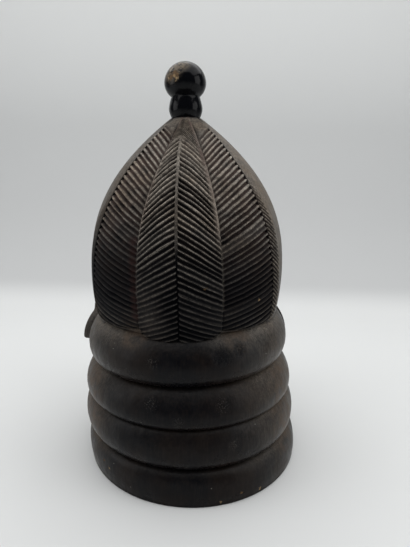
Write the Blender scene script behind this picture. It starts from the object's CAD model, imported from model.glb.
"""A sowei helmet mask of blackened wood, seen from behind, standing on a plain pale floor."""
import math
from functools import partial
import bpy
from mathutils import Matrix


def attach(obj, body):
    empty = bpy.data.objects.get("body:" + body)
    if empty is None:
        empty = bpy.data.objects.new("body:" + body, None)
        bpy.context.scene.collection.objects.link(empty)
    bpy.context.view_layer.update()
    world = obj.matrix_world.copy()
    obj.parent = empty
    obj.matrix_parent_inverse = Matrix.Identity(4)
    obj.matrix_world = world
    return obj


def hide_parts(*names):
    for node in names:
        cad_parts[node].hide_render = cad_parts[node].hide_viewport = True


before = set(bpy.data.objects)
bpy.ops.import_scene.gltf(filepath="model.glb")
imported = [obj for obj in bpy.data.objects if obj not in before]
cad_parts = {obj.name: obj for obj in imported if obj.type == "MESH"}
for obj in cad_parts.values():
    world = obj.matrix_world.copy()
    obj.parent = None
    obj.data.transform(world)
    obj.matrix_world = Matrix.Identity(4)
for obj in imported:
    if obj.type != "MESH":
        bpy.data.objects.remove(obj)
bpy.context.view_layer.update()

from types import SimpleNamespace

import bmesh
import bpy
import numpy as np
from mathutils import Matrix, Vector

MM = 0.001

# Driving dimensions, in millimetres and degrees. Radii are half-widths along X.
DEPTH_RATIO = 1.1
ROUND_FROM_Z = 280
ROUND_AT_Z = 336
LEAN = 0.03
TILT_Z = (15, 130)
FOOT_SLIP = 2.4
FOOT_SLIP_Z = 45
NECK_BOW = 1.4
NECK_BOW_Z = 105
NECK_BOW_HIGH = 42

# The neck's rolls: lower crease, upper crease, radius at the swell and at the top crease, and
# how far up the roll is widest.
ROLLS = [
    (0, 31.5, 109.8, 99, 0),
    (31.5, 69, 109.2, 100.5, 0.42),
    (69, 104, 106.2, 92.5, 0.45),
    (104, 149, 101.8, 84, 0.5),
]
FOOT_RADIUS = 108.8
FOOT_SWELL_Z = 9
FOOT_ROUNDING = 1.6

HEAD_RADIUS = 95.8
HEAD_WIDE_Z = 195
HEAD_POINT_Z = 347.5
HEAD_POWER = 2.3
HEAD_TUCK = 3.5
TUCK_RISE = 40
HEAD_FOOT_Z = 112
HEAD_CAP_Z = 338

# The knob: a ball, flatter below its middle than above, on a collar.
BALL = dict(r=20.2, z=369, above=19.8, below=16.8)
COLLAR = dict(neck_r=13.8, r=16.4, z=346, foot_r=13.4, foot_z=336, taper=1.4)
KNOB_SUNK = 10

HOLLOW = dict(mouth_r=90, halfway=0.45, brow_r=79, brow_z=150, wide_z=190, top_z=290)

# The feathered locks, covered with cuts that leave crests between them. Rows are counted in cuts.
BACK_TURN = -4
STROKE_PITCH = 5.1
TUCK_TURN = 1.5
LOCK_TOP_Z = 336
LOCK_THIN_Z = 316
LOCK_FOOT_Z = 150
LOCK_THICKNESS = 2
CUT_DEPTH = 2.1
BACK_CREST = (0.08, 0.2)  # share of the pitch that stays a crest, beside the midrib and at the edge
SIDE_CREST = (0.3, 0.24)
LOW_CREST = 0.35  # the crests are thinner by this factor low on the locks
LOW_CREST_Z = (195, 270)
CUT_SHALLOWER = 0.25  # how much of its depth a cut has lost at the edge
HALF_STEP = 0.45  # how far the cuts left of a midrib sit off those right of it, in pitches
FIRST_CUT_ROWS = (-0.2, 1.2)  # the cuts set in gently over these rows
CRUSH = 0.04  # rows past a lock's lower edge are pressed into its end wall
EDGE_ROUNDING = dict(drop=0.9, reach=1.2)
END_ROUNDING = dict(drop=1.6, reach=4)
WALL_ROOT = 5
CORE_Z = 215
FIRST_SEED = 3

# How unevenly the cuts were made: how far each is shifted, slanted and bowed, in millimetres,
# how its depth varies and between which factors, and the tremor along it.
HAND = dict(strays=(0.24, 0.3, 0.3), depth=0.14, depths=(0.6, 1.3), start=0.08, spare_cuts=3)
TREMOR = dict(size=0.2, per_cut=2, steps=8)

# The midribs. The back lock's is raised, and turns to a groove below its fade heights. Places
# across it are in half-widths.
RIB_HALF = 1.1
SIDE_RIB_HALF = 0.5
RIB_FADE_Z = (205, 228)
RIB_EDGE = (0.7, 1.3)
RIB_DROP = 0.2
RIB_GROOVE = dict(depth=1.5, half=0.6)
RIB_DULL_EDGE = (1.6, 0.8)
RAISED_RIB_DULL = 0.4

# The back lock's two rims, left and right. Places across them are in shares of their width.
RIM_WIDTHS = (1.8, 3.4)
RIM_FADE_Z = (212, 245)
RIM_UNCUT = (0.35, 1.15)
RIM_RIDGE = dict(height=0.5, middle=0.55, half=0.5)
RIM_TAN = (1.2, 0.8)

TOP_STROKES = dict(count=14, fall=3, depth=0.9, rows=(-0.95, -0.8))  # fine, beside the knob's foot
RUBBED = dict(turn=-12, wide=9, z=166, high=22, share=0.6)  # cuts worn smooth by handling
PARTING = dict(reach=(4.5, 1), depth=0.8, fade_z=(334, 320))  # the dark hollow beside the back lock
PLAIN_BAND_DUST = 0.4
# The right lock's outer half is plain above these heights and like rope below, with its strokes
# closer by the crowding.
ROPE = dict(from_z=(282, 262), crowding=1.25, dust=0.5)

# Curves that run up the hair from z0 to z1: the value at the foot, what it gains evenly on the
# way up, and what it gains late, near the knob. First the partings beside the back lock and the
# locks' midribs, in degrees from BACK_TURN.
LEFT_PARTING = dict(z0=150, z1=323, foot=-19.3, even=1.5, late=10.5, power=3.2)
RIGHT_PARTING = dict(z0=150, z1=323, foot=25.3, even=-2.5, late=-3.4, power=6)
BACK_MIDRIB = dict(z0=180, z1=320, foot=2.6, even=-1.2)
RIGHT_MIDRIB = dict(z0=150, z1=305, foot=62.5, even=-12)
LEFT_MIDRIB = dict(z0=160, z1=320, foot=-61, even=23.5)
# How steeply the cuts fall, rise over run along the surface, beside the midrib and at the edge.
BACK_FALL = dict(
    near=dict(z0=150, z1=305, foot=0.42, even=0.29, late=0.13, power=8),
    far=dict(z0=155, z1=305, foot=0.35, late=2, power=1.6),
    bend=1.5,
)
SIDE_FALL = dict(
    near=dict(z0=150, z1=325, foot=0.27, even=0.16, late=0.25, power=5),
    far=dict(z0=160, z1=320, foot=0.2, even=0.5, late=0.6, power=2),
    bend=1,
)
OUTER_BAND = dict(narrow=2, wide=12, narrow_z=295, wide_z=230)
CORNER_POWER = 3

FACE = dict(hair_z=268, brow_z=197, eye_z=184, eye_x=26, nose_z=160, mouth_z=146, chin_z=121, jaw_half=60)
JAW = dict(rise=15, outside=2, inside=9, fade_z=203)
LID = dict(rise=4.2, half=16, high=7.5)
BROW = dict(rise=2.2, high=3.2, top_x=24, top_z=201, drop=5, run=26, start=4, end=52, soft=10)
NOSE = dict(bridge=2.5, tip=10, bridge_half=5, tip_half=8, fade=14, under=5)
# Height of each swelling, then its place and its half-width and half-height.
SWELLINGS = {
    "forehead": (6, 0, 232, 60, 42),
    "eye socket": (-4, 26, 185, 17, 11),
    "nostril": (4.5, 8.5, 164, 4.5, 4.5),
    "cheek": (3, 36, 162, 16, 18),
    "upper lip": (4.4, 0, 149.6, 15, 3.2),
    "lower lip": (4.8, 0, 142, 13, 3.6),
    "chin": (4, 0, 131, 15, 9),
}
CHIN_HALF = 14
FACE_TOP_Z = 206
HIDDEN_TURN = 120  # past this the locks cover the head, but for a strip under their ends
HIDDEN_STEP = 10
HIDDEN_SINK = 2.5
HAIR_STEP = 2.6
HAIR_EDGE = 0.05
HAIR_ROLL = dict(rise=2, width=0.09)
HAIR_HALF_TURN = 84
HAIR_FLAT = 2.5
HAIR_SQUARE = 4

EAR_Z = (119, 158)
EAR_HALF = 13
EAR_BOWL = 2.4
EAR_LEAN = 5
EARS = {"left": (267, 10.2), "right": (103, 4.5)}
EAR_ROOT = 12

# Where the finish changes, in millimetres and degrees, and how much dust lies on each kind of
# surface. What faces up more than the first value of up, and most past the second, is dustier.
KNOB_EDGE_Z = (334, 337)
KNOB_ROOM = (6, 4)
RAW_DEPTH = (9, 11)
RAW_BELOW_CAP = (30, 45)
RIM_DOWN = (-0.8, -0.95)
NECK_EDGE = 3
TOP_ROLL_RISE = 15
UNDERCUT_GLOSS = (0.25, -0.35)
HAIR_DUST = dict(
    foot=0.028, power=(3.4, 1.2), power_z=(200, 315), apex=0.42, apex_rows=(0, 2.5),
    rubbed=0.1, ends=0.09, ends_z=(180, 158),
)
NECK_DUST = dict(
    side=0, top=0.2, up=(0.35, 0.95), middle=0.1, middle_turn=(20, 65),
    under_hair=0.06, under_lock=(10, 27), edge=0.13, edge_foot=0.055, edge_z=(25, 60),
)
HEAD_DUST = dict(low=0.16, high=0.38, z=(150, 260), left_share=0.7, left_turn=(-30, -60))
FRONT_TURN = (70, 112)  # the side that the photograph hides keeps less dust
FRONT_DUST = 0.1
FACE_GLOSS = 0.9
FACE_GLOSS_TURN = (95, 125)
FACE_GLOSS_Z = (293, 263)
GROOVE_BROWN_Z = (175, 300)

# Worn and damaged places: turn from the middle of the back, height, and reach.
WORN_PLACES = [(-27, 146, 17), (30, 146, 20), (-62, 80, 45), (66, 80, 45), (-60, 50, 40), (64, 45, 40)]
RED_PLACES = [(-25, z, 6.5) for z in range(164, 236, 8)]
BROWN_CHIPS = [(11.5, 190.5, 1.4), (-46, 19, 1), (26, 8.5, 0.7), (-25, 374, 3.4), (-38, 372, 2.4)]
BARE_CHIPS = [(43.5, 174, 0.9), (-41.5, 15.5, 0.6), (15.5, 4, 0.8), (36.5, 4, 1.1)]
BARE_CHIPS += [(-26, 372.5, 1.2), (-19, 369.5, 1.2), (-46, 371, 0.9), (-10, 375, 0.8)]
RUBBED_KNOB = [(-42, 378, 15), (-14, 383, 12)]
PITTED_PLACES = [(20.5, 132, 12), (30, 134, 9)]
SPECKLED_PLACES = [(-14, 129, 8), (-14.5, 92, 9), (19.5, 90, 9), (-1.5, 78.5, 7), (24, 55, 7)]
SPECKLED_PLACES += [(2, 36.5, 6), (42, 87.5, 4)]
SPECKS = (9, 1.1, 0.25)  # spacing, size and share

# Colours, linear.
SOOT = (0.0028, 0.003, 0.0042, 1)
SOOT_BROWN = (0.0078, 0.0054, 0.0048, 1)
DUST = (0.42, 0.375, 0.32, 1)
DUST_BROWN = (0.36, 0.29, 0.22, 1)
GROOVE_BROWN = (0.085, 0.059, 0.05, 1)
WORN_BROWN = (0.085, 0.06, 0.043, 1)
BROWN_GRAIN = 0.055
RUBBED_TONE = (0.15, 0.12, 0.085, 1)
RED_BROWN = (0.03, 0.012, 0.01, 1)
CHIP_BROWN = (0.12, 0.075, 0.04, 1)
BARE_WOOD = (0.5, 0.36, 0.2, 1)
SPECK = (0.4, 0.38, 0.34, 1)
RAW_DARK = (0.06, 0.036, 0.022, 1)
RAW_LIGHT = (0.13, 0.085, 0.052, 1)
RAW_STAIN = (0.03, 0.02, 0.014, 1)
FLOOR_COLOR = (0.722, 0.732, 0.727, 1)
WALL_COLOR = (0.545, 0.553, 0.553, 1)

ROUGH = dict(
    sooty=(0.36, 0.5), dust_gain=0.35, cut_gain=0.25, gloss_drop=0.08, knob_drop=0.17,
    chip_gain=0.4, raw=0.85, least=0.16,
)
CHIP_RAGGED = 9.0
SPECKLED_SHARE = 0.26
SPECULAR = 0.12
SPECULAR_DEEP = 0.02

# Heights of the bumps, in millimetres.
DENT_HEIGHT = 1.1
GRAIN_HEIGHT = 0.12
GRIT_HEIGHT = 0.1
PIT_DEPTH = 0.7
CHIP_DEPTH = 0.5
GOUGE_HEIGHT = 1.6

SHARP_ANGLE = 38

# The camera, in millimetres and degrees, and its frame's height in pixels.
CAMERA = dict(
    sensor=36, focal_px=450, back=461, height=275.4, turn=182.5, pitch=11.355, yaw=1.42, roll=-0.8885,
)
IMAGE_HEIGHT = 547
CLIP_START = 0.01

# The sweep of floor and wall, in millimetres, and the heights where it turns greyer and pales again.
SWEEP = dict(front_y=4000, bend_y=-420, bend_r=430, top_z=1200, half=3500)
SWEEP_STEPS = 24
WALL_FROM_Z = (4, 42)
WALL_LIGHTER_Z = (170, 745)
PAINT_ROUGH = 0.85
PAINT_SPECULAR = 0.2

# The lights, in metres and watts.
ROOM_COLOR = (0.9, 0.93, 1, 1)
ROOM_LIGHT = 0.08
PANELS = [
    dict(name="overhead", spot=(0, -0.15, 1.45), size=(2.6, 2.1), power=32.3, target=(0, -0.15, 0)),
    dict(name="left_panel", spot=(0.95, 0.3, 0.5), size=(0.6, 0.8), power=3),
    dict(name="right_panel", spot=(-0.95, 0.3, 0.5), size=(0.6, 0.8), power=3),
]


def mix(a, b, t):
    return a + (b - a) * t


def clamp(t):
    return np.clip(t, 0, 1)


def ease(a, b, x):
    t = clamp((np.asarray(x, float) - a) / (b - a))
    return t * t * (3 - 2 * t)


def bell(x, width):
    return np.exp(-((x / width) ** 2))


# Profiles


def depth_ratio(z):
    return mix(DEPTH_RATIO, 1, ease(ROUND_FROM_Z, ROUND_AT_Z, z))


def head_radius(z):
    up = clamp((z - HEAD_WIDE_Z) / (HEAD_POINT_Z - HEAD_WIDE_Z))
    down = np.maximum(0, HEAD_WIDE_Z - z) / TUCK_RISE
    return HEAD_RADIUS * (1 - up**HEAD_POWER) - HEAD_TUCK * down**2


def neck_radius(z):
    z = np.asarray(z, float)
    out = np.zeros_like(z)
    crease_below = 0
    for i, (z0, z1, swell, crease, wide_at) in enumerate(ROLLS):
        here = (z >= z0) & (z <= z1)
        t = clamp((z - z0) / (z1 - z0))
        if i == 0:
            up = clamp((z - FOOT_SWELL_Z) / (z1 - FOOT_SWELL_Z))
            low = FOOT_RADIUS + (swell - FOOT_RADIUS) * ease(0, FOOT_SWELL_Z, z)
            r = np.where(z < FOOT_SWELL_Z, low, mix(crease, swell, np.sqrt(1 - up**3)))
        else:
            round_up = np.sin(np.pi * t ** (math.log(0.5) / math.log(wide_at)))
            at_wide = mix(crease_below, crease, wide_at)
            r = mix(crease_below, crease, t) + (swell - at_wide) * np.sqrt(np.maximum(0, round_up))
        out = np.where(here, r, out)
        crease_below = crease
    return out


def body_radius(z):
    return np.maximum(head_radius(z), neck_radius(z))


def place(radius_at, turn, z, lift):
    """The point turn degrees round from the middle of the back, raised by lift along the normal."""
    turn, z, lift = (np.asarray(value, float) for value in (turn, z, lift))
    turn, z, lift = np.broadcast_arrays(turn, z, lift)
    r = radius_at(z)
    k = depth_ratio(z)
    a = np.radians(turn)
    nx, ny = -np.sin(a) * k, np.cos(a)
    n = np.hypot(nx, ny)
    slope = (radius_at(z - 1) - radius_at(z + 1)) / 2
    level = 1 / np.hypot(1, slope)
    x = -r * np.sin(a) + nx / n * lift * level
    y = k * r * np.cos(a) + ny / n * lift * level
    return np.stack([x, y, z + lift * slope * level], -1)


CLIMB_Z = np.arange(HEAD_FOOT_Z, HEAD_CAP_Z + 1.0)
CLIMB_S = np.concatenate([[0], np.cumsum(np.hypot(1, np.diff(head_radius(CLIMB_Z))))])


def climb_at(z):
    return np.interp(z, CLIMB_Z, CLIMB_S)


def height_at(s):
    return np.interp(s, CLIMB_S, CLIMB_Z)


# Solids from grids of points: rows run down, columns run to the right, seen from outside


def put(name, data):
    """Adds an object to the scene."""
    obj = bpy.data.objects.new(name, data)
    bpy.context.collection.objects.link(obj)
    return obj


def add_marks(mesh, marks):
    """Marks are values per vertex, which the material reads by name."""
    for mark, values in marks.items():
        layer = mesh.attributes.new(mark, "FLOAT", "POINT")
        layer.data.foreach_set("value", np.asarray(values, np.float32).ravel())


def mesh_object(name, points, faces, marks=None):
    mesh = bpy.data.meshes.new(name)
    mesh.from_pydata((np.asarray(points) * MM).tolist(), [], faces)
    add_marks(mesh, marks or {})
    mesh.update()
    return put(name, mesh)


def grid_faces(rows, columns, wrap):
    faces = []
    for r in range(rows - 1):
        for c in range(columns if wrap else columns - 1):
            d = (c + 1) % columns
            faces.append((r * columns + c, (r + 1) * columns + c, (r + 1) * columns + d, r * columns + d))
    return faces


def round_solid(name, grid, top, bottom):
    rows, columns = grid.shape[:2]
    faces = grid_faces(rows, columns, True)
    hub = rows * columns
    last = (rows - 1) * columns
    for c in range(columns):
        d = (c + 1) % columns
        faces.append((hub, c, d))
        faces.append((hub + 1, last + d, last + c))
    points = np.vstack([grid.reshape(-1, 3), [top, bottom]])
    return mesh_object(name, points, faces)


def patch_solid(name, grid, core, marks):
    rows, columns = grid.shape[:2]
    faces = grid_faces(rows, columns, False)
    hub = rows * columns
    last = (rows - 1) * columns
    for c in range(columns - 1):
        faces.append((c, c + 1, hub))
        faces.append((last + c + 1, last + c, hub))
    for r in range(rows - 1):
        left, right = r * columns, r * columns + columns - 1
        faces.append((left + columns, left, hub))
        faces.append((right, right + columns, hub))
    points = np.vstack([grid.reshape(-1, 3), [core]])
    marks = {mark: np.append(values.ravel(), 0) for mark, values in marks.items()}
    return mesh_object(name, points, faces, marks)


def turned(name, profile, segments, ratio):
    """A turned form, drawn out to the oval section. The profile runs from the top down."""
    profile = np.asarray(profile, float)
    a = np.arange(segments) / segments * 2 * np.pi
    r, z = profile[1:-1, 0][:, None], profile[1:-1, 1][:, None]
    grid = np.stack([-r * np.sin(a), ratio * r * np.cos(a), z + 0 * a], -1)
    return round_solid(name, grid, (0, 0, profile[0, 1]), (0, 0, profile[-1, 1]))


# Neck, knob and hollow

NECK_SEGMENTS = 160
ROLL_STEPS = 14
KNOB_SEGMENTS = 48
COLLAR_STEPS = 10
TAPER = (0.1, 0.95, 9)  # first and last place on the way up the collar's taper, and their count
BALL_STEPS = 30
HOLLOW_SEGMENTS = 72
HOLLOW_STEPS = 18


def neck():
    heights = [0.0]
    for z0, z1, *_shape in ROLLS:
        for k in range(ROLL_STEPS + 1):
            t = 0.5 - 0.5 * math.cos(math.pi * k / ROLL_STEPS)
            heights.append(mix(z0, z1, t))
    heights = np.unique(np.round(heights, 4))
    profile = [(neck_radius(z), z) for z in heights]
    profile[0] = (FOOT_RADIUS - FOOT_ROUNDING, 0)
    profile.insert(1, (FOOT_RADIUS - 0.3 * FOOT_ROUNDING, 0.3 * FOOT_ROUNDING))
    profile = [(0, 0)] + profile + [(0, ROLLS[-1][1])]
    return turned("neck", profile[::-1], NECK_SEGMENTS, DEPTH_RATIO)


def knob():
    low = -math.acos(COLLAR["neck_r"] / BALL["r"])
    neck_z = BALL["z"] + BALL["below"] * math.sin(low)
    root_z = HEAD_CAP_Z - KNOB_SUNK
    profile = [(0, root_z), (COLLAR["foot_r"], root_z)]
    for t in np.linspace(0, 1, COLLAR_STEPS):
        r = mix(COLLAR["foot_r"], COLLAR["r"], math.sin(t * math.pi / 2))
        profile.append((r, mix(COLLAR["foot_z"], COLLAR["z"], t)))
    for t in np.linspace(*TAPER):
        r = mix(COLLAR["r"], COLLAR["neck_r"], t ** COLLAR["taper"])
        profile.append((r, mix(COLLAR["z"], neck_z, t)))
    for a in np.linspace(low, math.pi / 2, BALL_STEPS)[:-1]:
        half_height = BALL["below"] if a < 0 else BALL["above"]
        profile.append((BALL["r"] * math.cos(a), BALL["z"] + half_height * math.sin(a)))
    profile.append((0, BALL["z"] + BALL["above"]))
    return turned("knob", profile[::-1], KNOB_SEGMENTS, 1)


def hollow():
    h = HOLLOW
    profile = [(0, -1), (h["mouth_r"], -1)]
    halfway = (mix(h["mouth_r"], h["brow_r"], h["halfway"]), h["brow_z"] / 2)
    profile += [halfway, (h["brow_r"], h["brow_z"])]
    for t in np.linspace(0, 1, HOLLOW_STEPS)[:-1]:
        profile.append((h["brow_r"] * math.sqrt(1 - t * t), mix(h["wide_z"], h["top_z"], t)))
    profile.append((0, h["top_z"]))
    return turned("hollow", profile[::-1], HOLLOW_SEGMENTS, DEPTH_RATIO)


# Head and face


def jaw_half(z):
    return FACE["jaw_half"] * np.sqrt(clamp((z - FACE["chin_z"]) / (FACE["brow_z"] - FACE["chin_z"])))


def face_relief(x, z):
    side = np.abs(x)
    jaw_step = ease(-JAW["outside"], JAW["inside"], jaw_half(z) - side)
    jaw = JAW["rise"] * jaw_step * ease(JAW["fade_z"], FACE["mouth_z"], z)
    room = 1 - ((side - FACE["eye_x"]) / LID["half"]) ** 2 - ((z - FACE["eye_z"]) / LID["high"]) ** 2
    lid = LID["rise"] * np.sqrt(np.maximum(0, room))
    brow_line = BROW["top_z"] - BROW["drop"] * ((side - BROW["top_x"]) / BROW["run"]) ** 2
    brow_ends = ease(BROW["start"], BROW["soft"], side)
    brow_ends = brow_ends * ease(BROW["end"], BROW["end"] - BROW["soft"], side)
    brow = BROW["rise"] * bell(z - brow_line, BROW["high"]) * brow_ends
    down = clamp((FACE["brow_z"] - z) / (FACE["brow_z"] - FACE["nose_z"]))
    nose_ends = ease(FACE["nose_z"] - NOSE["under"] / 2, FACE["nose_z"] + NOSE["under"] / 2, z)
    nose_top = ease(FACE["brow_z"] + NOSE["fade"], FACE["brow_z"], z)
    ridge = bell(x, mix(NOSE["bridge_half"], NOSE["tip_half"], down))
    nose = mix(NOSE["bridge"], NOSE["tip"], down) * ridge * nose_ends * nose_top
    swell = 0
    for rise, sx, sz, wide, high in SWELLINGS.values():
        swell = swell + rise * bell(side - sx, wide) * bell(z - sz, high)
    return jaw + lid + brow + nose + swell


def hair_turn(z):
    up = clamp((z - EAR_Z[0]) / (FACE["hair_z"] - EAR_Z[0]))
    return HAIR_HALF_TURN * (1 - up**HAIR_SQUARE) ** (1 / HAIR_FLAT)


def hair_line_z(from_face):
    room = clamp(1 - (np.abs(from_face) / HAIR_HALF_TURN) ** HAIR_FLAT)
    return mix(EAR_Z[0], FACE["hair_z"], room ** (1 / HAIR_SQUARE))


def past_hairline(from_face, z):
    up = np.maximum(0, z - EAR_Z[0]) / (FACE["hair_z"] - EAR_Z[0])
    return (np.abs(from_face) / HAIR_HALF_TURN) ** HAIR_FLAT + up**HAIR_SQUARE - 1


def head_lift(from_face, z):
    x = np.radians(from_face) * head_radius(z)
    past = past_hairline(from_face, z)
    roll = HAIR_ROLL["rise"] * bell(past - HAIR_ROLL["width"], HAIR_ROLL["width"])
    shown = mix(face_relief(x, z) - HAIR_STEP, roll, ease(-HAIR_EDGE, HAIR_EDGE, past))
    return np.where(np.abs(from_face) > HIDDEN_TURN, -HIDDEN_SINK, shown)


FACE_COLUMNS = 40
SIDE_COLUMNS = 12
TO_LOCKS_COLUMNS = 9
FACE_ROW = 1.45
# Where the grid is fine beside the hairline, in degrees or millimetres past it: the first and last
# column or row and how many, with the gaps to the next ones.
FINE_COLUMNS = (-2.2, 7, 10)
COLUMN_GAPS = (-3, 9)
FINE_ROWS = (10.5, -3.5, 13)
ROWS_FROM_CAP = 26
ROWS_TO_FACE = 20


def head_turns(z):
    """The columns of one row: close over the face and the hairline, wide where the locks lie."""
    half = max(CHIN_HALF, float(jaw_half(min(z, FACE["brow_z"])))) / math.radians(HEAD_RADIUS)
    hair = float(hair_turn(min(z, FACE_TOP_Z)))
    face_side = list(half * np.arange(1, FACE_COLUMNS + 1) / FACE_COLUMNS)
    to_hair = [mix(half, hair + COLUMN_GAPS[0], t) for t in np.linspace(0, 1, SIDE_COLUMNS + 1)[1:]]
    over_hair = [hair + d for d in np.linspace(*FINE_COLUMNS)]
    past_hair = np.linspace(0, 1, TO_LOCKS_COLUMNS)
    behind = [mix(hair + COLUMN_GAPS[1], HIDDEN_TURN, t) for t in past_hair]
    behind += list(range(HIDDEN_TURN + HIDDEN_STEP, 180, HIDDEN_STEP))
    side = face_side + to_hair + over_hair + behind
    return [180 - s for s in side[::-1]] + [180] + [180 + s for s in side] + [360]


def head_heights(from_face):
    """The rows of each column, which bend over the face to follow the hairline."""
    line = np.maximum(FACE_TOP_Z + 6, hair_line_z(from_face))
    rows = [mix(HEAD_CAP_Z, line + 12, t) for t in np.linspace(0, 1, ROWS_FROM_CAP)]
    rows += [line + d for d in np.linspace(*FINE_ROWS)]
    to_face = np.linspace(0, 1, ROWS_TO_FACE)[1:]
    rows += [mix(line + FINE_ROWS[1], FACE_TOP_Z + 1, t) for t in to_face]
    rows += [FACE_TOP_Z - d + 0 * line for d in np.arange(0, FACE_TOP_Z - HEAD_FOOT_Z, FACE_ROW)]
    return np.array(rows)


def head():
    middle_rows = head_heights(np.array([0.0]))[:, 0]
    turns = np.array([head_turns(z) for z in middle_rows])
    from_face = np.where(turns > 359, 180, turns - 180)
    rows = np.arange(len(middle_rows))
    heights = np.empty_like(turns)
    for c in range(turns.shape[1]):
        heights[:, c] = head_heights(from_face[:, c])[rows, rows]
    grid = place(head_radius, turns, heights, head_lift(from_face, heights))
    return round_solid("head", grid, (0, 0, HEAD_CAP_Z), (0, 0, middle_rows[-1]))


# Locks


def along(curve, z):
    up = clamp((z - curve["z0"]) / (curve["z1"] - curve["z0"]))
    return curve["foot"] + curve.get("even", 0) * up + curve.get("late", 0) * up ** curve.get("power", 1)


back_left = partial(along, LEFT_PARTING)
back_right = partial(along, RIGHT_PARTING)
back_mid = partial(along, BACK_MIDRIB)
right_mid = partial(along, RIGHT_MIDRIB)
left_mid = partial(along, LEFT_MIDRIB)


def band_width(z):
    share = ease(OUTER_BAND["narrow_z"], OUTER_BAND["wide_z"], z)
    return mix(OUTER_BAND["narrow"], OUTER_BAND["wide"], share)


SIDE_LOCK = dict(
    fall=SIDE_FALL, crest=SIDE_CREST, top_rows=14, lift=0.6, crown=1.8, rim=0, raised_rib=0,
    earth=1, rib_dull=0.9,
)
# Each lock's midrib and edges, its cuts, its form, and its dust and brown earth. Its inner half,
# beside the back lock, is the left one at -1 and the right one at 1.
LOCKS = {
    "back": dict(
        mid=back_mid, left=back_left, right=back_right,
        fall=BACK_FALL, crest=BACK_CREST, top_z=314, low_z=142, corner=8, top_rows=80,
        lift=2.6, crown=1.6, rim=1, raised_rib=1, inner=0,
        dust=1.05, dust_z=(150, 295), earth=0.25, rib_dull=1,
    ),
    "right": dict(
        SIDE_LOCK, mid=right_mid,
        left=lambda z: back_right(z) - TUCK_TURN,
        right=lambda z: right_mid(z) + band_width(z),
        outer_fall=0.7, top_z=327, low_z=148, corner=3, inner=-1, roped=True,
        dust=0.76, dust_z=(172, 300),
    ),
    "left": dict(
        SIDE_LOCK, mid=left_mid,
        left=lambda z: left_mid(z) - band_width(z),
        right=lambda z: back_left(z) + TUCK_TURN,
        top_z=329, low_z=149, corner=4, inner=1, plain_left=True,
        dust=0.68, dust_z=(195, 300),
    ),
}


ROWS_PER_STROKE = 11
COLUMN_WIDTH = 2.5
RIB_COLUMNS = (0.35, 0.7, 1.1, 1.6, 2.3)
EDGE_COLUMNS = (2.4, 1.7, 1.1, 0.5, 0)
SLOPE_STEPS = 8


def run_down(lock, s0, v, uu):
    """Follows a cut from the midrib out to v, down the surface."""
    s = s0.copy()
    width = np.zeros_like(s0)
    for i in range(SLOPE_STEPS):
        z = height_at(s)
        edge = np.where(uu < 0, lock["left"](z), lock["right"](z))
        width = np.abs(edge - lock["mid"](z)) * np.radians(1) * head_radius(z)
        out = ((i + 0.5) / SLOPE_STEPS * v) ** lock["fall"]["bend"]
        fall = mix(along(lock["fall"]["near"], z), along(lock["fall"]["far"], z), out)
        fall = np.where(uu > 0, lock.get("outer_fall", fall), fall)
        s = s - fall * width * v / SLOPE_STEPS
    return s0 - s, width


def column_stops(lock, side):
    width = abs(lock[side](HEAD_WIDE_Z) - lock["mid"](HEAD_WIDE_Z)) * math.radians(HEAD_RADIUS)
    near = np.array(RIB_COLUMNS)
    edge = width - np.array(EDGE_COLUMNS)
    count = max(2, round((edge[0] - near[-1]) / COLUMN_WIDTH))
    middle = np.linspace(near[-1], edge[0], count + 1)[1:-1]
    return np.concatenate([near, middle, edge]) / width


def between_knots(table, down, across):
    r, c = down.astype(int), across.astype(int)
    upper = mix(table[r, c], table[r, c + 1], across - c)
    lower = mix(table[r + 1, c], table[r + 1, c + 1], across - c)
    return mix(upper, lower, down - r)


def hand_wander(rng, strokes, row, uu):
    """How far each cut strays from its ruled place, in millimetres, with its depth factor."""
    stray = np.zeros_like(row)
    depth = np.ones_like(row)
    v = np.abs(uu)
    spare = HAND["spare_cuts"]
    for side in (-1, 1):
        knots = np.arange(-spare, strokes + spare + 1)
        shift, tilt, bend = (rng.normal(0, s, len(knots)) for s in HAND["strays"])
        deep = rng.normal(1, HAND["depth"], len(knots))
        at = [np.interp(row, knots, k) for k in (shift, tilt, bend)]
        here = at[0] + at[1] * v + at[2] * np.sin(np.pi * v)
        table = rng.normal(0, TREMOR["size"], (len(knots) * TREMOR["per_cut"], TREMOR["steps"] + 1))
        down = np.clip((row + spare) * TREMOR["per_cut"], 0, len(table) - 1.001)
        here = here + between_knots(table, down, np.clip(v, 0, 0.999) * TREMOR["steps"])
        mine = uu * side > 0
        stray = np.where(mine, here * ease(0, HAND["start"], v), stray)
        step = np.clip(np.round(row), -spare, strokes + spare).astype(int) + spare
        depth = np.where(mine, deep[step], depth)
    return stray, np.clip(depth, *HAND["depths"])


def ripple(t):
    """Nothing at whole numbers, one halfway between them."""
    return np.abs(((t + 0.5) % 1) - 0.5) * 2


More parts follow.
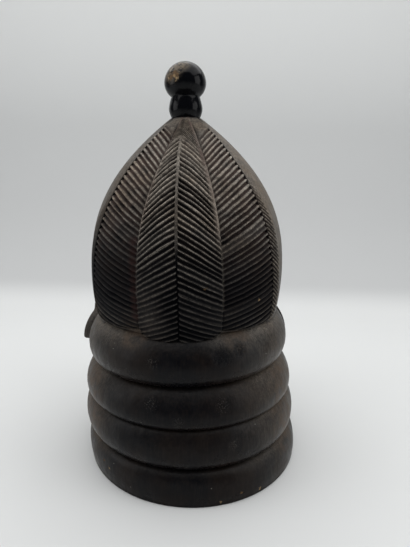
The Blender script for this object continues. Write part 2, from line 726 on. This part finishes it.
def lock_layout(lock, strokes):
    """Where each point of a lock lies: rows run down, u runs from -1 to 1 across the midrib."""
    top_s, low_s = climb_at(lock["top_z"]), climb_at(lock["low_z"])
    top_rows = np.linspace(-1, 0, lock["top_rows"])[:-1]
    rows = np.concatenate([top_rows, np.arange(strokes * ROWS_PER_STROKE + 1) / ROWS_PER_STROKE])
    u = np.concatenate([-column_stops(lock, "left")[::-1], [0], column_stops(lock, "right")])
    row, uu = np.meshgrid(rows, u, indexing="ij")
    v = np.abs(uu)
    s0 = np.where(row < 0, mix(top_s, climb_at(LOCK_TOP_Z), -row), mix(top_s, low_s, row / strokes))
    drop, width = run_down(lock, s0, v, uu)
    s = s0 - drop * np.where(row < 0, 1 + row, 1)
    end_s = climb_at(lock["low_z"] + lock["corner"] * v**CORNER_POWER)
    past = np.maximum(0, end_s - s)
    z = height_at(np.where(past > 0, end_s - past * CRUSH, s))
    edge = np.where(uu < 0, lock["left"](z), lock["right"](z))
    turn = BACK_TURN + lock["mid"](z) + v * (edge - lock["mid"](z))
    raised = lock["raised_rib"] * ease(*RIB_FADE_Z, z)
    rib_half = mix(SIDE_RIB_HALF, RIB_HALF, raised)
    worn = bell(turn - RUBBED["turn"] - BACK_TURN, RUBBED["wide"]) * bell(z - RUBBED["z"], RUBBED["high"])
    return SimpleNamespace(
        row=row, uu=uu, v=v, z=z, turn=turn, past=past, above_end=np.maximum(0, s - end_s),
        across=v * width, from_edge=(1 - v) * width, raised=raised, from_rib=v * width / rib_half,
        rim=lock["rim"] * ease(*RIM_FADE_Z, z), rim_width=np.where(uu < 0, *RIM_WIDTHS),
        rubbed=RUBBED["share"] * worn,
    )


def cut_grooves(lock, at, strokes, rng):
    """How deep the cuts are, from nothing on a crest to about one."""
    cut = at.row + np.where(at.uu < 0, HALF_STEP, 0)
    if "roped" in lock:
        cut = np.where(at.uu > 0, cut * ROPE["crowding"], cut)
    stray, depth = hand_wander(rng, strokes, np.floor(cut) + 0.5, at.uu)
    phase = ripple(np.maximum(cut, 0) + stray / STROKE_PITCH)
    crest = mix(*lock["crest"], at.v) * mix(LOW_CREST, 1, ease(*LOW_CREST_Z, at.z))
    groove = 1 - clamp(1 - (phase - crest) / (1 - crest)) ** 2
    groove = np.where(phase < crest, 0, groove) * depth * (1 - CUT_SHALLOWER * at.v)
    groove = np.where((at.row < 0) | (at.past > 0), 0, groove) * ease(*RIB_EDGE, at.from_rib)
    groove = groove * ease(*FIRST_CUT_ROWS, at.row)
    if lock["rim"]:
        fine = ripple(at.row * TOP_STROKES["count"] - TOP_STROKES["fall"] * at.v)
        fine = TOP_STROKES["depth"] * fine**2 * ease(*TOP_STROKES["rows"], at.row)
        groove = np.where(at.row < 0, fine, groove)
    if "plain_left" in lock:
        groove = np.where(at.uu < 0, 0, groove)
    if "roped" in lock:
        groove = np.where(at.uu > 0, groove * ease(*ROPE["from_z"], at.z), groove)
    uncut = ease(*(at.rim_width * share for share in RIM_UNCUT), at.from_edge)
    return groove * mix(1, uncut, at.rim) * (1 - at.rubbed)


def parting_shade(lock, at):
    shade = np.where(at.uu * lock["inner"] > 0, ease(*PARTING["reach"], at.from_edge), 0)
    return shade * ease(*PARTING["fade_z"], at.z)


def lock_lift(lock, at, groove, shade):
    """How far a lock's surface stands above the head's."""
    thick = ease(LOCK_TOP_Z + 2, LOCK_THIN_Z, at.z)
    rib_groove = -RIB_GROOVE["depth"] * bell(at.across, RIB_GROOVE["half"])
    rib = mix(rib_groove, -RIB_DROP * ease(*RIB_EDGE[::-1], at.from_rib), at.raised)
    from_ridge = at.from_edge - at.rim_width * RIM_RIDGE["middle"]
    rib = rib + RIM_RIDGE["height"] * at.rim * bell(from_ridge, at.rim_width * RIM_RIDGE["half"])
    rounded = EDGE_ROUNDING["drop"] * ease(EDGE_ROUNDING["reach"], 0, at.from_edge)
    rounded = rounded + END_ROUNDING["drop"] * ease(END_ROUNDING["reach"], 0, at.above_end)
    lift = lock["lift"] + lock["crown"] * (1 - at.v * at.v) + rib - rounded
    return lift * thick - CUT_DEPTH * groove - PARTING["depth"] * shade * thick


def lock_marks(lock, at, groove, shade):
    """What the material needs to know of a lock's surface. Its walls, padded on, carry nothing."""
    dull = ease(*RIB_DULL_EDGE, at.from_rib) * mix(1, RAISED_RIB_DULL, at.raised) * lock["rib_dull"]
    tan = at.rim * ease(*(at.rim_width * share for share in RIM_TAN), at.from_edge)
    deep = clamp(np.maximum(groove, np.maximum(shade, dull)))
    earth = clamp(np.maximum(lock["earth"] * groove * (1 - shade), tan))
    dust = mix(HAIR_DUST["foot"], lock["dust"], ease(*lock["dust_z"], at.z))
    dust = dust * mix(HAIR_DUST["apex"], 1, ease(*HAIR_DUST["apex_rows"], at.row))
    if "plain_left" in lock:
        dust = dust * np.where(at.uu < 0, PLAIN_BAND_DUST, 1)
    if "roped" in lock:
        dust = np.where(at.uu > 0, ROPE["dust"], dust)
    ends = HAIR_DUST["ends"] * ease(*HAIR_DUST["ends_z"], at.z)
    dust = dust + (HAIR_DUST["rubbed"] * at.rubbed + ends)
    dust = dust * (1 - deep) ** mix(*HAIR_DUST["power"], ease(*HAIR_DUST["power_z"], at.z))
    marks = {"carved": np.ones_like(deep), "deep": deep, "earth": earth, "crest_dust": dust}
    return {mark: np.pad(values, ((0, 1), (1, 1))) for mark, values in marks.items()}


def with_walls(grid, turn, z):
    """Adds the sides and the lower end of a lock, which go down into the head."""
    left, right = (place(head_radius, turn[:, c], z[:, c], -WALL_ROOT) for c in (0, -1))
    grid = np.concatenate([left[:, None], grid, right[:, None]], 1)
    end_turn, end_z = np.pad(turn[-1], 1, "edge"), np.pad(z[-1], 1, "edge")
    return np.concatenate([grid, place(head_radius, end_turn, end_z, -WALL_ROOT)[None]], 0)


def lock_solid(name, seed):
    lock = LOCKS[name]
    strokes = round((climb_at(lock["top_z"]) - climb_at(lock["low_z"])) / STROKE_PITCH)
    at = lock_layout(lock, strokes)
    groove = cut_grooves(lock, at, strokes, np.random.default_rng(seed))
    shade = parting_shade(lock, at)
    grid = place(head_radius, at.turn, at.z, lock_lift(lock, at, groove, shade))
    marks = lock_marks(lock, at, groove, shade)
    return patch_solid("lock_" + name, with_walls(grid, at.turn, at.z), (0, 0, CORE_Z), marks)


EAR_SEGMENTS = 48
EAR_STOPS = (0.1, 0.35, 0.5, 0.58, 0.7, 0.82, 0.9, 0.97, 1.0)
EAR_RINGS = (0.08, 0.2, 0.35, 0.5, 0.58, 0.64, 0.7, 0.76, 0.82, 0.88, 0.94, 0.98, 1.0)


def ear_lift(share, rise):
    """An ear's height from its middle, a shallow bowl, over its rim to its root."""
    bowl = [EAR_BOWL, EAR_BOWL, EAR_BOWL, EAR_BOWL * 1.3]
    rim = [rise, rise * 0.95, rise * 0.7, rise * 0.1]
    return np.interp(share, EAR_STOPS, bowl + rim + [-EAR_ROOT / 3])


def ear_solid(name):
    middle_turn, rise = EARS[name]
    z0, z1 = EAR_Z
    middle = (z0 + z1) / 2
    lower = -EAR_LEAN if middle_turn > 180 else EAR_LEAN
    degree = math.radians(float(body_radius(middle)))

    def ear_point(across, up, lift):
        z = middle + np.asarray(up) * (z1 - z0) / 2
        turn = middle_turn + lower * np.asarray(up) + np.asarray(across) / degree
        room = np.maximum(0, body_radius(z) - head_radius(z))
        return place(head_radius, turn, z, lift + room)

    a = np.arange(EAR_SEGMENTS) / EAR_SEGMENTS * 2 * np.pi
    rings = [ear_point(-EAR_HALF * s * np.sin(a), s * np.cos(a), ear_lift(s, rise)) for s in EAR_RINGS]
    return round_solid("ear_" + name, np.stack(rings), ear_point(0, 0, EAR_BOWL), ear_point(0, 0, -EAR_ROOT))


# Joining


def boolean(obj, other, operation):
    step = obj.modifiers.new(operation.lower(), "BOOLEAN")
    step.operation = operation
    step.solver = "MANIFOLD"
    step.object = other
    graph = bpy.context.evaluated_depsgraph_get()
    mesh = bpy.data.meshes.new_from_object(obj.evaluated_get(graph))
    obj.modifiers.clear()
    obj.data = mesh
    bpy.data.objects.remove(other)


def leaned(p):
    """Leans the carving over on its level foot, with the small sideways drift of hand work."""
    x, z = p[:, 0], p[:, 2]
    aside = LEAN * z - FOOT_SLIP * ease(FOOT_SLIP_Z, 0, z)
    aside = aside + NECK_BOW * bell(z - NECK_BOW_Z, NECK_BOW_HIGH)
    return np.stack([x + aside, p[:, 1], z - LEAN * x * ease(*TILT_Z, z)], -1)


def per_vertex(mesh, field):
    """A field of three numbers for every vertex."""
    flat = np.empty(len(mesh.vertices) * 3)
    mesh.vertices.foreach_get(field, flat)
    return flat.reshape(-1, 3)


def lean(mesh):
    p = leaned(per_vertex(mesh, "co") / MM)
    middle = (p.min(0) + p.max(0)) / 2
    p[:, :2] -= middle[:2]
    mesh.vertices.foreach_set("co", (p * MM).ravel())
    mesh.update()
    return middle


def drop_crumbs(mesh):
    """Joining leaves crumbs where thin edges meet; only the carving itself is kept."""
    carving = bmesh.new()
    carving.from_mesh(mesh)
    start = min(carving.verts, key=lambda corner: corner.co.z)
    kept = {start}
    front = [start]
    while front:
        corner = front.pop()
        for edge in corner.link_edges:
            other = edge.other_vert(corner)
            if other not in kept:
                kept.add(other)
                front.append(other)
    crumbs = [corner for corner in carving.verts if corner not in kept]
    bmesh.ops.delete(carving, geom=crumbs, context="VERTS")
    carving.to_mesh(mesh)
    carving.free()


def carve():
    mask = neck()
    for part in (head(), knob()):
        boolean(mask, part, "UNION")
    for seed, name in enumerate(LOCKS, FIRST_SEED):
        boolean(mask, lock_solid(name, seed), "UNION")
    for name in EARS:
        boolean(mask, ear_solid(name), "UNION")
    boolean(mask, hollow(), "DIFFERENCE")
    drop_crumbs(mask.data)
    return mask


mask = carve()
mask.name = "carved_mask"


# Wear and finish, as one value per vertex of the mask before it leans


def read_mark(mesh, name):
    values = np.zeros(len(mesh.vertices), np.float32)
    mesh.attributes[name].data.foreach_get("value", values)
    return values.astype(float)


def neck_dust(z, up, aside):
    """Dust on the rolls: on what faces up and on both sides, and little in the middle."""
    outward = ease(*NECK_DUST["middle_turn"], aside)
    top_roll = ease(ROLLS[3][0], ROLLS[3][0] + TOP_ROLL_RISE, z)
    beside_lock = top_roll * ease(*NECK_DUST["under_lock"], aside)
    share = mix(NECK_DUST["middle"], 1, np.maximum(outward, beside_lock))
    on_top = NECK_DUST["top"] + NECK_DUST["under_hair"] * top_roll
    dust = mix(NECK_DUST["side"], on_top, ease(*NECK_DUST["up"], up))
    edge = mix(NECK_DUST["edge_foot"], NECK_DUST["edge"], ease(*NECK_DUST["edge_z"], z))
    return (dust * share + edge * outward) * mix(1, FRONT_DUST, ease(*FRONT_TURN, aside))


def head_dust(z, turn):
    """Dust on the head where no lock covers it."""
    dust = mix(HEAD_DUST["low"], HEAD_DUST["high"], ease(*HEAD_DUST["z"], z))
    side_share = mix(1, HEAD_DUST["left_share"], ease(*HEAD_DUST["left_turn"], turn))
    return dust * mix(side_share, FRONT_DUST, ease(*FRONT_TURN, np.abs(turn)))


def raw_wood(z, up, radius):
    """The hollow and the foot's underside, which were never blackened."""
    below_rim = ease(1, 0, z) * ease(*RIM_DOWN, up)
    sunk = body_radius(np.minimum(z, HEAD_CAP_Z)) - radius
    under_cap = ease(*(HEAD_CAP_Z - depth for depth in RAW_BELOW_CAP), z)
    return np.maximum(ease(*RAW_DEPTH, sunk) * under_cap, below_rim)


def mark_surface(mesh):
    x, y, z = (per_vertex(mesh, "co") / MM).T
    up = per_vertex(mesh, "normal")[:, 2]
    radius = np.hypot(x, y / depth_ratio(z))
    turn = np.degrees(np.arctan2(-x, y)) - BACK_TURN
    aside = np.abs(turn)
    carved, earth, crest_dust = (read_mark(mesh, name) for name in ("carved", "earth", "crest_dust"))
    on_knob = ease(*KNOB_EDGE_Z, z) * ease(*(COLLAR["r"] + room for room in KNOB_ROOM), radius)
    on_neck = ease(ROLLS[3][1] + NECK_EDGE, ROLLS[3][1] - NECK_EDGE, z)
    dust = mix(head_dust(z, turn), crest_dust, carved)
    dust = mix(dust, neck_dust(z, up, aside), on_neck * (1 - carved))
    polished = FACE_GLOSS * ease(*FACE_GLOSS_TURN, aside) * ease(*FACE_GLOSS_Z, z)
    gloss = np.maximum(on_knob, on_neck * ease(*UNDERCUT_GLOSS, up))
    marks = {
        "dust": dust * (1 - on_knob),
        "gloss": np.maximum(gloss, polished),
        "brown": carved * earth * ease(*GROOVE_BROWN_Z, z),
        "raw": raw_wood(z, up, radius),
        "knob": on_knob,
    }
    add_marks(mesh, {mark: clamp(values) for mark, values in marks.items()})


mark_surface(mask.data)
MIDDLE = lean(mask.data)
mask.data.shade_smooth()
mask.data.set_sharp_from_angle(angle=math.radians(SHARP_ANGLE))


def knob_radius(z):
    room = 1 - ((z - BALL["z"]) / BALL["above"]) ** 2
    return BALL["r"] * np.sqrt(np.maximum(room, 0.01))


def spot_on(turn, z):
    """A point of the finished surface, in millimetres."""
    radius_at = knob_radius if z > HEAD_CAP_Z else body_radius
    lift = LOCK_THICKNESS if LOCK_FOOT_Z < z < HEAD_CAP_Z else 0
    p = leaned(place(radius_at, turn, z, lift)[None])[0]
    return (p[0] - MIDDLE[0], p[1] - MIDDLE[1], p[2])


# Materials


class Graph:
    """A material's nodes: each call adds one and returns its output socket."""

    def __init__(self, name):
        self.material = bpy.data.materials.new(name)
        self.material.use_nodes = True
        self.tree = self.material.node_tree
        self.shader = self.tree.nodes["Principled BSDF"]

    def feed(self, socket, value):
        if isinstance(value, bpy.types.NodeSocket):
            self.tree.links.new(value, socket)
        else:
            socket.default_value = value

    def node(self, kind, inputs, **settings):
        """Adds a node of this kind and returns its outputs."""
        node = self.tree.nodes.new("ShaderNode" + kind)
        for setting, value in settings.items():
            setattr(node, setting, value)
        for socket, value in inputs.items():
            self.feed(node.inputs[socket], value)
        return node.outputs

    def place(self):
        """The place on the object in millimetres."""
        here = self.node("TexCoord", {})["Object"]
        return self.vector("MULTIPLY", here, (1 / MM, 1 / MM, 1 / MM))

    def vector(self, operation, first, second):
        outputs = self.node("VectorMath", {0: first, 1: second}, operation=operation)
        return outputs["Value" if operation == "DISTANCE" else "Vector"]

    def math(self, operation, first, second=0.0):
        return self.node("Math", {0: first, 1: second}, operation=operation)["Value"]

    def joined(self, operation, values):
        out = values[0]
        for value in values[1:]:
            out = self.math(operation, out, value)
        return out

    def times(self, *factors):
        return self.joined("MULTIPLY", factors)

    def add(self, *terms):
        return self.joined("ADD", terms)

    def rest(self, share):
        """What a share leaves of one."""
        return self.math("SUBTRACT", 1.0, share)

    def noise(self, where, size, detail=3.0, rough=0.55, tall=1.0):
        """Noise with features of about size millimetres, tall times as long up the block."""
        if tall != 1:
            where = self.vector("MULTIPLY", where, (1, 1, 1 / tall))
        inputs = {"Vector": where, "Scale": 1 / size, "Detail": detail, "Roughness": rough}
        return self.node("TexNoise", inputs)["Fac"]

    def specks(self, where, spacing, size, share):
        """Round specks, size across, in a share of cells spacing apart."""
        cells = self.node("TexVoronoi", {"Vector": where, "Scale": 1 / spacing})
        red = self.node("SeparateColor", {"Color": cells["Color"]})["Red"]
        half = size / spacing / 2
        chosen = self.ramp(red, share, share - 0.01)
        return self.times(chosen, self.ramp(cells["Distance"], half, half * 0.4))

    def mark(self, name):
        return self.node("Attribute", {}, attribute_name=name)["Fac"]

    def ramp(self, value, low, high, bottom=0.0, top=1.0):
        """Bottom at low and top at high, smoothly between."""
        inputs = dict(enumerate((value, low, high, bottom, top)))
        return self.node("MapRange", inputs, interpolation_type="SMOOTHSTEP")["Result"]

    def blend(self, share, first, second):
        return self.node("Mix", {"Factor": share, 6: first, 7: second}, data_type="RGBA")[2]

    def far(self, where, spot):
        return self.vector("DISTANCE", where, spot)

    def near(self, where, places, ragged):
        """One on the given round spots, with ragged edges."""
        gaps = [self.math("SUBTRACT", self.far(where, spot), reach) for spot, reach in spots(places)]
        return self.ramp(self.add(self.joined("MINIMUM", gaps), ragged), 0.6, -0.6)

    def soft(self, where, places):
        """One at the middle of each given spot, fading out to nothing at its reach."""
        here = [self.ramp(self.far(where, spot), reach, reach * 0.25) for spot, reach in spots(places)]
        return self.joined("MAXIMUM", here)

    def bump(self, height):
        """Bumps from a height in millimetres."""
        bumped = self.node("Bump", {"Distance": MM, "Height": height})["Normal"]
        self.feed(self.shader.inputs["Normal"], bumped)


def spots(places):
    return [(spot_on(turn, z), reach) for turn, z, reach in places]


def wood_pattern(g):
    """The noises, marks and damaged places that the wood's colour, gloss and relief share."""
    where = g.place()
    ragged = g.times(g.math("SUBTRACT", g.noise(where, 2.2, 4, 0.65), 0.5), CHIP_RAGGED)
    carved = g.mark("carved")
    plain = g.rest(carved)
    fine = g.noise(where, 1.1, 3, 0.6)
    grain = g.noise(where, 1.5, 3, 0.6, tall=16)
    return SimpleNamespace(
        where=where,
        broad=g.noise(where, 42, 3),
        cloud=g.noise(where, 11, 4, 0.6),
        fine=fine,
        grain=grain,
        streaky=g.times(g.ramp(grain, 0.3, 0.7, 0.85, 1.1), g.ramp(fine, 0.3, 0.7, 0.75, 1.2)),
        streaks=g.times(g.noise(where, 1.7, 4, 0.65, tall=9), plain),
        crinkle=g.noise(where, 2.4, 4, 0.7),
        pitted=g.soft(where, PITTED_PLACES),
        worn=g.soft(where, WORN_PLACES),
        brown_chip=g.near(where, BROWN_CHIPS, ragged),
        bare_chip=g.near(where, BARE_CHIPS, ragged),
        carved=carved,
        plain=plain,
        deep=g.mark("deep"),
        gloss=g.mark("gloss"),
        knob=g.mark("knob"),
        raw=g.mark("raw"),
    )


def dust_share(g, w):
    """Dust, in patches, in streaks along the grain and in flecks on the carved hair."""
    patchy = g.ramp(w.cloud, 0.3, 0.72, 0.75, 1.2)
    flecks = g.times(g.noise(w.where, 2.6, 4, 0.7), w.carved)
    flecked = g.ramp(g.add(flecks, w.streaks), 0.32, 0.68, 0.55, 1.35)
    return g.times(g.mark("dust"), patchy, w.streaky, flecked)


def dusty_soot(g, w, dust):
    brownish = g.times(g.ramp(w.broad, 0.35, 0.65), g.rest(g.math("MAXIMUM", w.knob, w.deep)))
    soot = g.blend(brownish, SOOT, SOOT_BROWN)
    dust_tone = g.blend(g.ramp(g.add(w.broad, g.times(w.worn, 0.3)), 0.4, 0.75), DUST, DUST_BROWN)
    return g.blend(dust, soot, dust_tone)


def browned(g, w, tone):
    """Brown in the grooves, in the grain and where the wood is worn or rubbed."""
    tone = g.blend(g.times(g.mark("brown"), g.ramp(w.cloud, 0.25, 0.6), 0.8), tone, GROOVE_BROWN)
    in_grain = g.times(w.plain, g.rest(w.knob), g.ramp(w.streaks, 0.42, 0.66), BROWN_GRAIN)
    tone = g.blend(in_grain, tone, WORN_BROWN)
    worn = g.times(w.worn, w.plain, g.ramp(w.cloud, 0.35, 0.65), w.streaky, 0.8)
    tone = g.blend(worn, tone, WORN_BROWN)
    patches = g.ramp(g.noise(w.where, 3, 4, 0.65), 0.34, 0.58)
    tone = g.blend(g.times(g.soft(w.where, RUBBED_KNOB), w.knob, patches), tone, RUBBED_TONE)
    redness = g.times(g.soft(w.where, RED_PLACES), g.ramp(w.fine, 0.35, 0.65, 0.3, 0.9))
    return g.blend(redness, tone, RED_BROWN)


def damaged(g, w, tone):
    """Chips, the crinkled place and pale specks."""
    tone = g.blend(w.brown_chip, tone, CHIP_BROWN)
    tone = g.blend(w.bare_chip, tone, g.blend(w.fine, BARE_WOOD, CHIP_BROWN))
    tone = g.blend(g.times(w.pitted, g.ramp(w.crinkle, 0.48, 0.55), 0.85), tone, SOOT)
    dots = g.ramp(g.noise(w.where, 0.9, 2, 0.5), 0.58, 0.66)
    speckled = g.times(g.soft(w.where, SPECKLED_PLACES), dots, SPECKLED_SHARE)
    specks = g.math("MAXIMUM", g.specks(w.where, *SPECKS), speckled)
    return g.blend(g.times(specks, 0.55), tone, SPECK)


def inside_tone(g, w):
    inside = g.blend(g.ramp(w.grain, 0.3, 0.7), RAW_DARK, RAW_LIGHT)
    return g.blend(g.ramp(w.cloud, 0.35, 0.7), inside, RAW_STAIN)


def roughness(g, w, dust):
    rough = g.ramp(w.cloud, 0.25, 0.75, *ROUGH["sooty"])
    rough = g.add(rough, g.times(dust, ROUGH["dust_gain"]), g.times(w.carved, ROUGH["cut_gain"]))
    rough = g.add(rough, g.times(w.gloss, -ROUGH["gloss_drop"]), g.times(w.knob, -ROUGH["knob_drop"]))
    chips = (g.times(chip, ROUGH["chip_gain"]) for chip in (w.brown_chip, w.bare_chip))
    rough = g.math("MAXIMUM", g.add(rough, *chips), ROUGH["least"])
    return g.ramp(g.math("MAXIMUM", rough, g.times(w.raw, ROUGH["raw"])), 0, 1)


def relief(g, w):
    """Heights in millimetres."""
    dents = g.times(g.noise(w.where, 16, 2, 0.5), DENT_HEIGHT)
    lines = g.times(w.grain, g.ramp(w.gloss, 0, 1, GRAIN_HEIGHT, GRAIN_HEIGHT / 4))
    grit = g.times(w.fine, g.ramp(w.gloss, 0, 1, GRIT_HEIGHT, GRIT_HEIGHT / 3))
    pits = g.times(w.pitted, g.ramp(w.crinkle, 0.54, 0.42), -PIT_DEPTH)
    chips = g.times(g.math("MAXIMUM", w.brown_chip, w.bare_chip), -CHIP_DEPTH)
    gouges = g.times(w.raw, g.noise(w.where, 9, 2, 0.4, tall=2.5), GOUGE_HEIGHT)
    return g.add(dents, lines, grit, pits, chips, gouges)


def blackened_wood():
    g = Graph("blackened_wood")
    w = wood_pattern(g)
    dust = dust_share(g, w)
    tone = damaged(g, w, browned(g, w, dusty_soot(g, w, dust)))
    g.feed(g.shader.inputs["Base Color"], g.blend(w.raw, tone, inside_tone(g, w)))
    g.feed(g.shader.inputs["Roughness"], roughness(g, w, dust))
    g.feed(g.shader.inputs["Specular IOR Level"], g.ramp(w.deep, 0.3, 1, SPECULAR, SPECULAR_DEEP))
    g.bump(relief(g, w))
    return g.material


mask.data.materials.clear()
mask.data.materials.append(blackened_wood())
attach(mask, "root")
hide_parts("mask")


def turned_by(angle, first, second):
    """Turns two square directions together, the first one towards the second."""
    first_now = first * math.cos(angle) + second * math.sin(angle)
    return first_now, second * math.cos(angle) - first * math.sin(angle)


def camera():
    """Behind the mask, a little above its middle."""
    data = bpy.data.cameras.new("camera")
    data.sensor_width = CAMERA["sensor"]
    data.lens = CAMERA["focal_px"] * CAMERA["sensor"] / IMAGE_HEIGHT
    data.clip_start = CLIP_START
    obj = put("camera", data)
    turn, pitch, yaw, roll = (math.radians(CAMERA[key]) for key in ("turn", "pitch", "yaw", "roll"))
    away = Vector((math.sin(turn), -math.cos(turn), 0))
    spot = away * CAMERA["back"] + Vector((-MIDDLE[0], -MIDDLE[1], CAMERA["height"]))
    ahead = -away * math.cos(pitch) - Vector((0, 0, math.sin(pitch)))
    right = ahead.cross(Vector((0, 0, 1))).normalized()
    ahead, right = turned_by(yaw, ahead, right)
    up = right.cross(ahead)
    up, right = turned_by(roll, up, right)
    obj.matrix_world = Matrix.Translation(spot * MM) @ Matrix((right, up, -ahead)).transposed().to_4x4()
    bpy.context.scene.camera = obj


def sweep_profile():
    """From the floor before the mask, round the bend, to the top of the wall beyond it."""
    profile = [(SWEEP["front_y"], 0.0), (0.0, 0.0)]
    for a in np.linspace(0, math.pi / 2, SWEEP_STEPS):
        y = SWEEP["bend_y"] - SWEEP["bend_r"] * math.sin(a)
        profile.append((y, SWEEP["bend_r"] * (1 - math.cos(a))))
    return profile + [(profile[-1][0], SWEEP["top_z"])]


def pale_paint():
    """The sweep's paint, greyer where the floor turns up into the wall."""
    g = Graph("backdrop")
    up = g.node("SeparateXYZ", {"Vector": g.place()})["Z"]
    grey = g.math("SUBTRACT", g.ramp(up, *WALL_FROM_Z), g.ramp(up, *WALL_LIGHTER_Z))
    g.feed(g.shader.inputs["Base Color"], g.blend(grey, FLOOR_COLOR, WALL_COLOR))
    g.feed(g.shader.inputs["Roughness"], PAINT_ROUGH)
    g.feed(g.shader.inputs["Specular IOR Level"], PAINT_SPECULAR)
    return g.material


def backdrop():
    """A pale floor that sweeps up into a wall beyond the mask."""
    points, faces = [], []
    for i, (y, z) in enumerate(sweep_profile()):
        points += [(-SWEEP["half"], y, z), (SWEEP["half"], y, z)]
        if i:
            faces.append((2 * i - 2, 2 * i, 2 * i + 1, 2 * i - 1))
    obj = mesh_object("backdrop", points, faces)
    obj.data.shade_smooth()
    obj.data.materials.append(pale_paint())


def panel(name, spot, size, power, target=(0, 0, 0.2)):
    """A soft flat light, width by height, turned to its target."""
    data = bpy.data.lights.new(name, "AREA")
    data.shape = "RECTANGLE"
    data.size, data.size_y = size
    data.energy = power
    obj = put(name, data)
    obj.location = spot
    obj.rotation_euler = (Vector(target) - Vector(spot)).to_track_quat("-Z", "Y").to_euler()


def room_light():
    world = bpy.data.worlds.new("world")
    bpy.context.scene.world = world
    world.use_nodes = True
    background = world.node_tree.nodes["Background"]
    background.inputs["Color"].default_value = ROOM_COLOR
    background.inputs["Strength"].default_value = ROOM_LIGHT


camera()
backdrop()
room_light()
for light in PANELS:
    panel(**light)
bpy.context.scene.view_settings.view_transform = "Standard"
